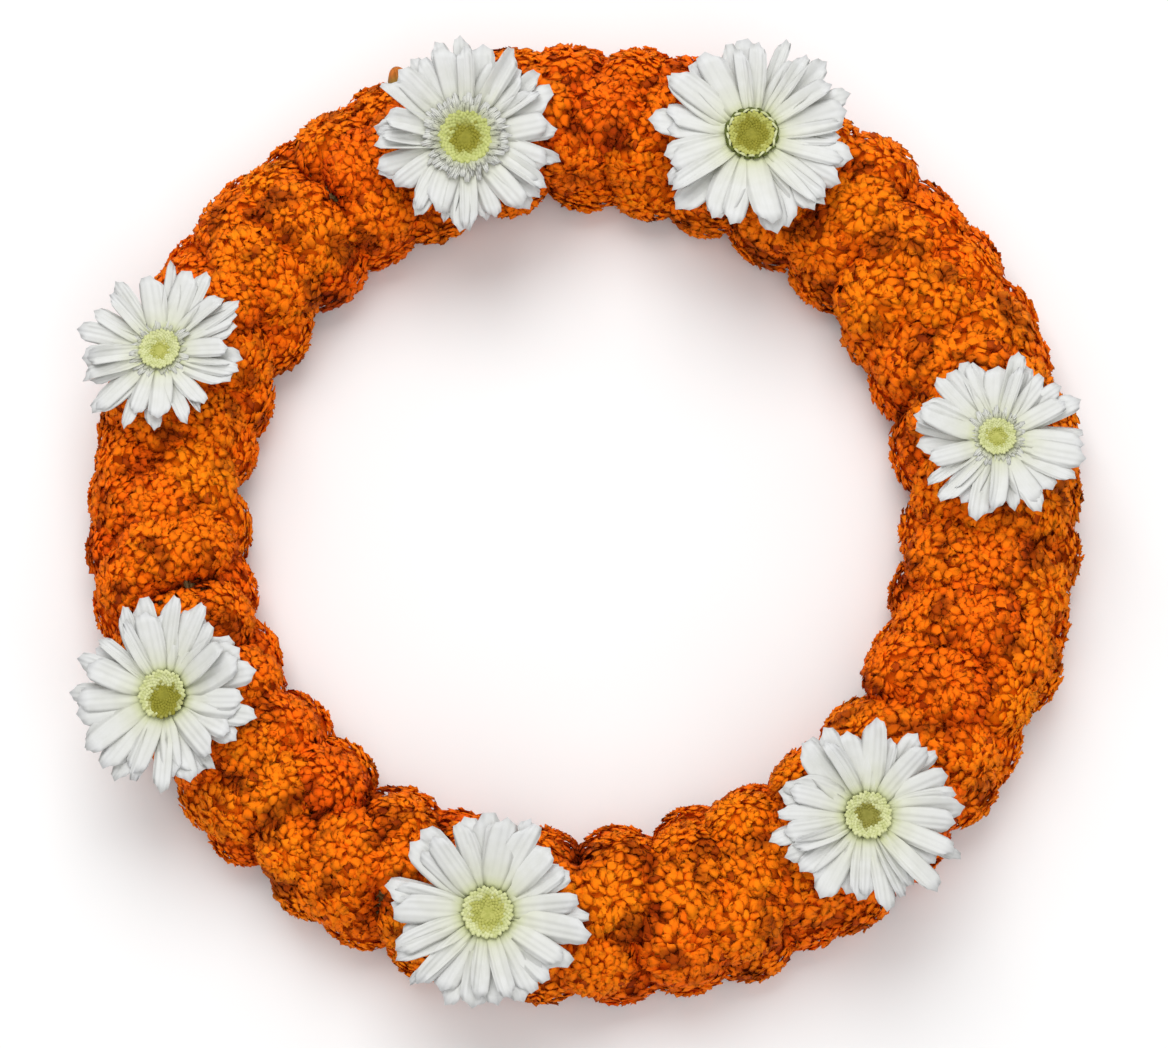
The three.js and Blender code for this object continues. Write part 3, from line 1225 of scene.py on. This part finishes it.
    def petals(self, ray: Shape, blade: Shape, rng: np.random.Generator) -> None:
        """Makes the ray petals and dresses them."""
        whorls = (
            Whorl(self.rays, length=1.02, width=0.130, rise=0.09, droop=0.01, lift=0.5 * MM),
            Whorl(self.rays - 3, length=0.95, width=0.130, rise=0.12, droop=0.01, lift=1.2 * MM),
        )
        made = [self.whorl(ray, w, 0.5 * i + self.number, rng) for i, w in enumerate(whorls)]
        if EYES[self.eye].fringe:
            made.append(self.fringe(blade, rng))
        shape = Shape.joined(made).moved(self.turn, self.seat)
        piece = shape.to_piece(f"gerbera_{self.number}_rays")
        finished(piece, GERBERA_WHITE.material(), GERBERA_WHITE.slot, f"gerbera_{self.number}_petals")

    @staticmethod
    def floret() -> Shape:
        """Models one disc floret: a five-sided stud with a pinched tip."""
        Bench.clear()
        bpy.ops.mesh.primitive_cylinder_add(vertices=5, radius=1.0, depth=1.0, location=(0.0, 0.0, 0.5))
        stud = bpy.context.object
        bpy.ops.object.transform_apply(location=True, rotation=True, scale=True)
        bpy.ops.object.mode_set(mode="EDIT")
        bpy.ops.mesh.select_all(action="DESELECT")
        bpy.ops.object.mode_set(mode="OBJECT")
        Bench.select(stud, lambda p: p[:, 2] > 0.9)
        bpy.ops.object.mode_set(mode="EDIT")
        bpy.ops.mesh.extrude_region_move(TRANSFORM_OT_translate={"value": (0.0, 0.0, 0.45)})
        bpy.ops.transform.resize(value=(0.35, 0.35, 1.0), center_override=(0.0, 0.0, 1.0))
        bpy.ops.object.mode_set(mode="OBJECT")
        return Shape.taken_from(stud)

    def strips(self, blade: Shape, rng: np.random.Generator) -> Shape:
        """Lays pale bent strips round the disc's edge, each over a dark strip, lower and further out, that is
        a painted shadow.

        Args:
            blade: The blade that is copied.
            rng: The random draws.

        Returns:
            The strips, marked for the disc's finish.
        """
        look = EYES[self.eye]
        count = 2 * look.strips
        # Every second strip is a painted shadow: dark, lower and further out than the pale one.
        dark = np.arange(count) % 2 == 1
        angle = 2 * math.pi * (np.arange(count) + rng.uniform(-0.3, 0.3, count)) / count
        across, along, high = (blade.points[None, :, k] for k in range(3))
        length = rng.uniform(3.6, 6.4, count)[:, None] * MM
        width = np.where(dark, 1.1, 0.7)[:, None] * MM
        skew = rng.uniform(-0.35, 0.35, count)[:, None]
        run = (along - 0.5) * length
        radial = look.radius * 1.1 + np.where(dark, 0.8, 0.0)[:, None] * MM + across * width + skew * run
        up = (np.where(dark, 3.0, 3.9)[:, None] + rng.uniform(-0.3, 0.3, count)[:, None]) * MM
        up = up + high * 0.6 * MM + 1.2 * MM * np.cos(math.pi * (along - 0.5))
        places = np.stack(
            [
                radial * np.cos(angle)[:, None] - run * np.sin(angle)[:, None],
                radial * np.sin(angle)[:, None] + run * np.cos(angle)[:, None],
                up,
            ],
            -1,
        )
        return blade.copies(places, {"rim": np.where(dark, 1.0, 0.94)})

    def disc(self, floret: Shape, blade: Shape, rng: np.random.Generator) -> None:
        """Makes the disc of florets and dresses it."""
        look = EYES[self.eye]
        count = self.florets
        n = np.arange(count)
        share = np.sqrt((n + 0.5) / count)
        angle = n * GOLDEN_ANGLE
        radius = look.radius * share
        size = look.radius * 1.45 / math.sqrt(count) * (0.75 + 0.35 * share)
        tall = (0.5 + 0.6 * share) * MM * rng.uniform(0.8, 1.2, count)
        base = np.stack([radius * np.cos(angle), radius * np.sin(angle), 1.6 * MM + 1.6 * MM * share**2], -1)
        lean = 0.35 * share
        across = floret.points[None] * np.stack([size, size, tall], -1)[:, None]
        across = across + np.stack([np.cos(angle), np.sin(angle), 0 * angle], -1)[:, None] * (
            across[..., 2:3] * lean[:, None, None]
        )
        shifted = base[:, :2] / look.radius - np.array([look.aside, 0.0])
        edge = np.linalg.norm(shifted, axis=1) + rng.normal(0, 0.07, count)
        studs = floret.copies(base[:, None] + across, {"rim": 0.85 * np.clip(edge, 0, 1)})
        Bench.clear()
        bpy.ops.mesh.primitive_uv_sphere_add(segments=16, ring_count=8, radius=1.0)
        bed = Shape.taken_from(bpy.context.object)
        bed.points *= np.array([look.radius * 1.02, look.radius * 1.02, 2.6 * MM])
        bed.marks = {"rim": 0.85 * np.clip(np.linalg.norm(bed.points[:, :2], axis=1) / look.radius, 0, 1)}
        finish = GradedFinish(
            f"gerbera_eye_{self.eye.value}",
            "gerbera_disc",
            0.7,
            400.0,
            stops=(
                (0.0, look.centre),
                (0.85 * look.core - 0.06, look.centre),
                (0.85 * look.core + 0.06, look.rim),
                (0.87, look.rim),
                (0.92, STRIP_CREAM),
                (0.95, STRIP_CREAM),
                # The last stop colours the painted-shadow strips.
                (1.0, STRIP_SHADOW),
            ),
            dark=(0.8, 0.82, 0.65),
            mark="rim",
        )
        parts = [studs, bed]
        if look.strips:
            parts.append(self.strips(blade, rng))
        shape = Shape.joined(parts).moved(self.turn, self.seat)
        piece = shape.to_piece(f"gerbera_{self.number}_eye")
        finished(piece, finish.material(), finish.slot, f"gerbera_{self.number}_disc")

    def calyx(self, blade: Shape, rng: np.random.Generator) -> None:
        """Makes the green calyx with its bracts and the short stem, and dresses them."""
        stem = self.stem
        Bench.clear()
        bpy.ops.mesh.primitive_cylinder_add(
            vertices=12, radius=2.6 * MM, depth=stem, location=(0.0, 0.0, -stem / 2)
        )
        body = bpy.context.object
        bpy.ops.object.transform_apply(location=True, rotation=True, scale=True)
        bpy.ops.object.mode_set(mode="EDIT")
        for height in (-11 * MM, -8 * MM, -3 * MM):
            bpy.ops.mesh.select_all(action="SELECT")
            bpy.ops.mesh.bisect(plane_co=(0.0, 0.0, height), plane_no=(0.0, 0.0, 1.0))
        bpy.ops.object.mode_set(mode="OBJECT")
        for height, swell in ((-8 * MM, 2.9), (-3 * MM, 4.1), (0.0, 4.4)):
            ring = lambda p, z=height: np.abs(p[:, 2] - z) < 0.2 * MM
            Bench.shape(body, ring, "resize", (swell, swell, 1.0))
        cup = Shape.taken_from(body)
        cup.marks = {"along": np.clip(1 + cup.points[:, 2] / stem, 0, 1)}
        bracts = []
        for row, (rays, height) in enumerate(((16, -9 * MM), (18, -5 * MM))):
            angle = 2 * math.pi * (np.arange(rays) + 0.5 * row) / rays
            across, along, high = (blade.points[None, :, k] for k in range(3))
            x = across * 1.8 * MM * (1 - 0.6 * along**2) + 0 * angle[:, None]
            radial = (8.6 + 2.6 * row) * MM + along * 2.4 * MM + high * 1.5 * MM + 0 * angle[:, None]
            up = height + along * rng.uniform(5.0, 6.2, rays)[:, None] * MM
            places = np.stack(
                [
                    radial * np.cos(angle)[:, None] - x * np.sin(angle)[:, None],
                    radial * np.sin(angle)[:, None] + x * np.cos(angle)[:, None],
                    up,
                ],
                -1,
            )
            tone = np.broadcast_to(0.2 + 0.6 * along, places.shape[:2])
            bracts.append(blade.copies(places, {"along": tone}))
        shape = Shape.joined([cup, *bracts]).moved(self.turn, self.seat)
        piece = shape.to_piece(f"gerbera_{self.number}_green_cup")
        finished(piece, GREEN.material(), GREEN.slot, f"gerbera_{self.number}_calyx_and_stem")

    def build(self, ray: Shape, blade: Shape, floret: Shape) -> None:
        """Makes the whole flower.

        Args:
            ray: The ray petal that is copied.
            blade: The short inner floret that is copied, which also serves as a bract.
            floret: The disc floret that is copied.
        """
        rng = np.random.default_rng(300 + self.number)
        self.petals(ray, blade, rng)
        self.disc(floret, blade, rng)
        self.calyx(blade, rng)


# ------------------------------------------------------------------ leaf and bud


@dataclass
class TuckedGreens:
    """The leaf and the unopened marigold bud.

    Attributes:
        ring: The straw ring that they are tucked over; not used.
    """

    ring: StrawRing

    @staticmethod
    def frame_of(node: str, flat: bool) -> tuple[Array, Array, Array]:
        """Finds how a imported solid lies.

        Args:
            node: The solid's name.
            flat: Whether its own up is its thinnest way, rather than its longest.

        Returns:
            Its middle, its turn with the long way along Y or Z, and its size along X, Y and Z.
        """
        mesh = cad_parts[node].data
        places = np.zeros(len(mesh.vertices) * 3)
        mesh.vertices.foreach_get("co", places)
        places = places.reshape(-1, 3)
        middle = (places.max(0) + places.min(0)) / 2
        long_way, side, thin = np.linalg.svd(places - places.mean(0), full_matrices=False)[2]
        if flat:
            up = thin * math.copysign(1.0, thin[2])
            turn = np.stack([np.cross(long_way, up), long_way, up], -1)
        else:
            up = long_way * math.copysign(1.0, long_way[2])
            turn = np.stack([np.cross(thin, up), thin, up], -1)
        local = (places - middle) @ turn
        middle = middle + turn @ ((local.max(0) + local.min(0)) / 2)
        return middle, turn, local.max(0) - local.min(0)

    def leaf(self) -> None:
        """Makes the leaf, folded along its midrib, and dresses it."""
        middle, turn, size = self.frame_of("leaf", True)
        sheet = Bench.grid(6, 12)
        for step in range(13):
            share = step / 12
            width = max(0.02, math.sin(math.pi * share**0.85) ** 0.8)
            row = lambda p, y=share: np.abs(p[:, 1] - y) < 0.01
            Bench.shape(sheet, row, "resize", (width, 1.0, 1.0))
        Bench.thickened(sheet, 0.05)
        blade = Shape.taken_from(sheet)
        across, along, high = blade.points.T
        blade.marks = {"along": along.copy(), "across": np.abs(across) + 1.6 * along}
        bow = 2.4 * MM * np.sin(math.pi * along) + 1.6 * MM * np.abs(across) - 1.0 * MM
        blade.points = np.stack(
            [across * size[0] / 2, (along - 0.5) * size[1] * 1.05, high * 10 * MM + bow], -1
        )
        piece = blade.moved(turn, middle).to_piece("pointed_leaf")
        finished(piece, LEAF_GREEN.material(), LEAF_GREEN.slot, "leaf")

    def bud(self) -> None:
        """Makes the ribbed bud with its closed petals and dresses it."""
        middle, turn, size = self.frame_of("marigold_bud", False)
        Bench.clear()
        bpy.ops.mesh.primitive_uv_sphere_add(segments=20, ring_count=14, radius=1.0)
        ball = Shape.taken_from(bpy.context.object)
        x, y, z = ball.points.T
        angle = np.arctan2(y, x)
        ribs = 1 + 0.07 * np.cos(10 * angle) * (z < 0.5)
        ball.marks = {"along": 0.5 + 0.5 * z, "across": angle / math.pi}
        ball.points = np.stack([x * ribs * size[0] / 2, y * ribs * size[1] / 2, z * size[2] / 2], -1)
        piece = ball.moved(turn, middle).to_piece("closed_bud")
        finished(piece, BUD_GREEN.material(), BUD_GREEN.slot, "marigold_bud")

    def build(self) -> None:
        """Makes both pieces."""
        self.leaf()
        self.bud()


# ------------------------------------------------------------------ studio


@dataclass
class Studio:
    """The floor, the lights and the camera.

    Attributes:
        elevation: Height of the camera's view, in radians.
        distance: From the camera to the middle of the wreath.
        field: Width of what the camera sees at the wreath.
        aim: Where the camera looks, from the ring's centre.
    """

    elevation: float = math.radians(74)
    distance: float = 1.9
    field: float = 0.642
    aim: tuple[float, float, float] = (0.0047, -0.0076, 0.021)

    def floor(self) -> None:
        """Lays the plain pale floor."""
        Bench.clear()
        bpy.ops.mesh.primitive_plane_add(size=8.0, location=(0.0, 0.0, 0.0))
        floor = bpy.context.object
        floor.name = "floor"
        paint = bpy.data.materials.new("pale_floor")
        paint.use_nodes = True
        shader = paint.node_tree.nodes["Principled BSDF"]
        shader.inputs["Base Color"].default_value = (0.86, 0.86, 0.86, 1.0)
        shader.inputs["Roughness"].default_value = 0.9
        floor.data.materials.append(paint)
        floor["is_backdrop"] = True

    def light(self, name: str, place: Vector, size: float, power: float) -> None:
        """Hangs one soft light that faces the wreath.

        Args:
            name: Its name.
            place: Where it hangs.
            size: Its width.
            power: Its power in watts.
        """
        data = bpy.data.lights.new(name, "AREA")
        data.size = size
        data.energy = power
        lamp = bpy.data.objects.new(name, data)
        lamp.location = place
        lamp.rotation_euler = (-place).to_track_quat("-Z", "Y").to_euler()
        bpy.context.scene.collection.objects.link(lamp)

    def lights(self) -> None:
        """Hangs the key light beyond the wreath's top and a fill light before it."""
        self.light("key_light", Vector((-0.3, 1.5, 2.6)), 2.4, 60.0)
        self.light("fill_light", Vector((0.5, -1.6, 2.6)), 2.6, 24.0)
        world = bpy.data.worlds.new("studio")
        world.use_nodes = True
        sky = world.node_tree.nodes["Background"]
        sky.inputs["Color"].default_value = (1.0, 1.0, 1.0, 1.0)
        sky.inputs["Strength"].default_value = 0.6
        bpy.context.scene.world = world
        bpy.context.scene.view_settings.view_transform = "Standard"

    def camera(self, centre: Array) -> None:
        """Stands the camera over the wreath.

        Args:
            centre: The middle of the straw ring, on the floor.
        """
        data = bpy.data.cameras.new("camera")
        data.sensor_width = 36.0
        data.lens = data.sensor_width * self.distance / self.field
        eye = bpy.data.objects.new("camera", data)
        back = Vector((0.0, -math.cos(self.elevation), math.sin(self.elevation)))
        eye.location = Vector(centre) + Vector(self.aim) + back * self.distance
        eye.rotation_euler = (-back).to_track_quat("-Z", "Y").to_euler()
        bpy.context.scene.collection.objects.link(eye)
        bpy.context.scene.camera = eye

    def build(self, centre: Array) -> None:
        """Sets up the whole studio round the wreath's centre."""
        self.floor()
        self.lights()
        self.camera(centre)


GERBERAS = (
    (1, Eye.PALE, 19),
    (2, Eye.RAGGED, 21),
    (3, Eye.FRINGED, 22),
    (4, Eye.SOFT, 17),
    (5, Eye.HEART, 22),
    (6, Eye.ROUND, 21),
    (7, Eye.DARK, 20),
)


def box_of(corners: tuple[Vector, Vector]) -> list[list[float]]:
    """Returns the two corners of a box as plain lists."""
    return [list(corner) for corner in corners]


def main() -> None:
    """Builds the wreath's visible pieces in order and sets up the studio."""
    logging.basicConfig(level=logging.INFO, format="%(name)s: %(message)s")
    cad_box = box_of(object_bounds())
    ring = StrawRing()
    ring.build()
    BindingTwine(ring).build()
    MarigoldStrings(ring).build()
    ray, blade, floret = Gerbera.ray(), Gerbera.floret_blade(), Gerbera.floret()
    for number, eye, rays in GERBERAS:
        Gerbera(number, eye, rays).build(ray, blade, floret)
    TuckedGreens(ring).build()
    Studio().build(ring.centre)
    {"cad": cad_box, "visual": box_of(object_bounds())}
    log.info("CAD box %s, visual box %s", cad_box, box_of(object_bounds()))


if __name__ == "__main__":
    main()
